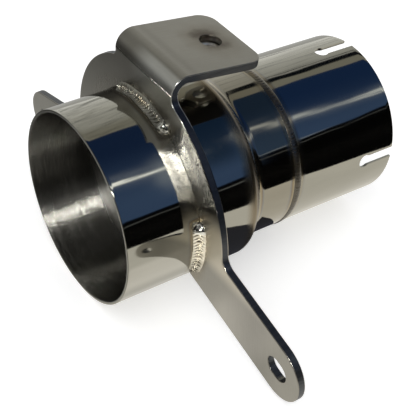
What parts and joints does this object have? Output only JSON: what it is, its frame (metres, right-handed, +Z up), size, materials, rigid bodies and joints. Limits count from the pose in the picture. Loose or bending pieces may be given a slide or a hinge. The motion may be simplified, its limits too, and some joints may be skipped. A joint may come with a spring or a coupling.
{
  "type": "slip-on exhaust adapter",
  "caption": "Straight welded exhaust adapter: plain inlet tube rolled in to a smaller clamp-on outlet with relief slots, and a bent hanger bracket with a nut flange and two slotted arms.",
  "frame": {"origin": "centre of the inlet tube's mouth, on the tube's axis", "axes": "+X along the inlet tube from its mouth to its rear, +Z up to the flange, +Y to the far side"},
  "size_m": [0.1711, 0.2628, 0.1275],
  "materials": {
    "polished_tube": "mirror polished stainless",
    "mill_plate": "satin mill finish stainless",
    "nut_steel": "machined stainless",
    "weld_metal": "rippled weld with heat tint"
  },
  "bodies": {
    "root": {"inlet_tube": "polished_tube", "neck_tube": "polished_tube", "outlet_tube": "polished_tube", "bracket_plate": "mill_plate", "weld_nut": "nut_steel", "neck_weld": "weld_metal", "outlet_weld": "weld_metal", "top_stitch_weld": "weld_metal", "near_stitch_weld": "weld_metal", "far_stitch_weld": "weld_metal", "nut_tack_welds": "weld_metal"}
  },
  "joints": []
}
